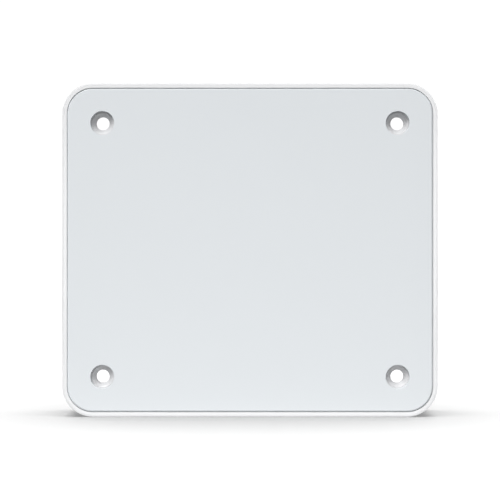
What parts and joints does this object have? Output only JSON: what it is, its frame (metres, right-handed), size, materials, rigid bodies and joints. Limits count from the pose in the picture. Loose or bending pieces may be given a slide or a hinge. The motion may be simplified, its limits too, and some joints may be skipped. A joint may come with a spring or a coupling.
{
  "type": "ceiling access point",
  "caption": "Flat rounded-square wireless access point for a ceiling, with an inset front panel, countersunk corner fixing holes, and a rear cable bay behind a hinged door.",
  "frame": {"origin": "centre of the rear face that rests on the ceiling", "axes": "+X along the width, +Z along the height as it stands upright, and +Y towards the ceiling, so the front panel faces -Y; in use -Y points down"},
  "size_m": [0.188, 0.038, 0.167],
  "materials": {
    "housing_white": "satin moulded, near white",
    "panel_grey": "satin, pale cool grey",
    "black_foam": "closed-cell foam",
    "bush_metal": "fine turned, satin",
    "cover_metal": "powder coat, fine texture",
    "steel": "zinc plated",
    "blank_label": "brushed foil, blank",
    "door_plastic": "moulded, fine texture",
    "dark_rubber": "moulded rubber",
    "clamp_nylon": "natural nylon",
    "brass": "stamped",
    "board_green": "solder mask over copper",
    "chip_black": "moulded epoxy",
    "tin": "tinned sheet",
    "chip_ceramic": "fired ceramic",
    "ferrite": "pressed ferrite",
    "can_sleeve": "aluminium can",
    "coil_tape": "polyester tape",
    "port_black": "moulded",
    "gold": "gold plated",
    "plunger_white": "moulded",
    "button_red": "moulded",
    "sink_aluminium": "extruded",
    "thermal_pad": "filled silicone",
    "carrier_plastic": "moulded",
    "coax_jacket": "extruded jacket"
  },
  "bodies": {
    "base": {"housing": "housing_white", "front_panel": "panel_grey", "panel_tape": "black_foam", "screw_bushes": "bush_metal", "rear_cover": "cover_metal", "rear_cover_screws": "steel", "rating_label": "blank_label", "door_pin": "steel", "cable_clamp": "clamp_nylon", "cable_clamp_screws": "steel", "earth_screw": "brass", "main_board": "board_green", "board_screws": "steel", "processor": "chip_black", "radio_chips": "chip_black", "memory_chips": "chip_black", "flash_chip": "chip_black", "network_chip": "chip_black", "power_chips": "chip_black", "crystals": "tin", "chip_capacitors": "chip_ceramic", "inductors": "ferrite", "capacitors": "can_sleeve", "transformer_core": "ferrite", "transformer_coil": "coil_tape", "network_transformer": "chip_black", "port_shell": "tin", "port_insert": "port_black", "port_contacts": "gold", "reset_switch": "port_black", "heat_sink": "sink_aluminium", "thermal_pads": "thermal_pad", "heat_sink_screws": "steel", "shield_frames": "tin", "shield_lids": "tin", "antenna_carrier": "carrier_plastic", "low_band_antennas": "brass", "high_band_antennas": "board_green", "patch_antennas": "gold", "coax_leads": "coax_jacket", "coax_plugs": "gold"},
    "door": {"cable_door": "door_plastic", "door_seal": "black_foam", "cable_grommet": "dark_rubber"},
    "button": {"reset_button": "button_red"},
    "plunger": {"reset_plunger": "plunger_white"}
  },
  "joints": [
    {"name": "door_hinge", "type": "hinge", "parent": "base", "child": "door", "pos_m": [0, -0.0026, -0.0313], "axis": [1, 0, 0], "range_deg": [0, 100]},
    {"name": "button_press", "type": "slide", "parent": "base", "child": "button", "axis": [0, 0, 1], "range_m": [0, 0.00045], "stiffness_N_per_m": 5},
    {"name": "plunger_press", "type": "slide", "parent": "base", "child": "plunger", "axis": [0, 0, 1], "range_m": [0, 0.00045]}
  ],
  "couplings": [
    {"joint": "plunger_press", "follows": "button_press", "ratio": 1}
  ]
}
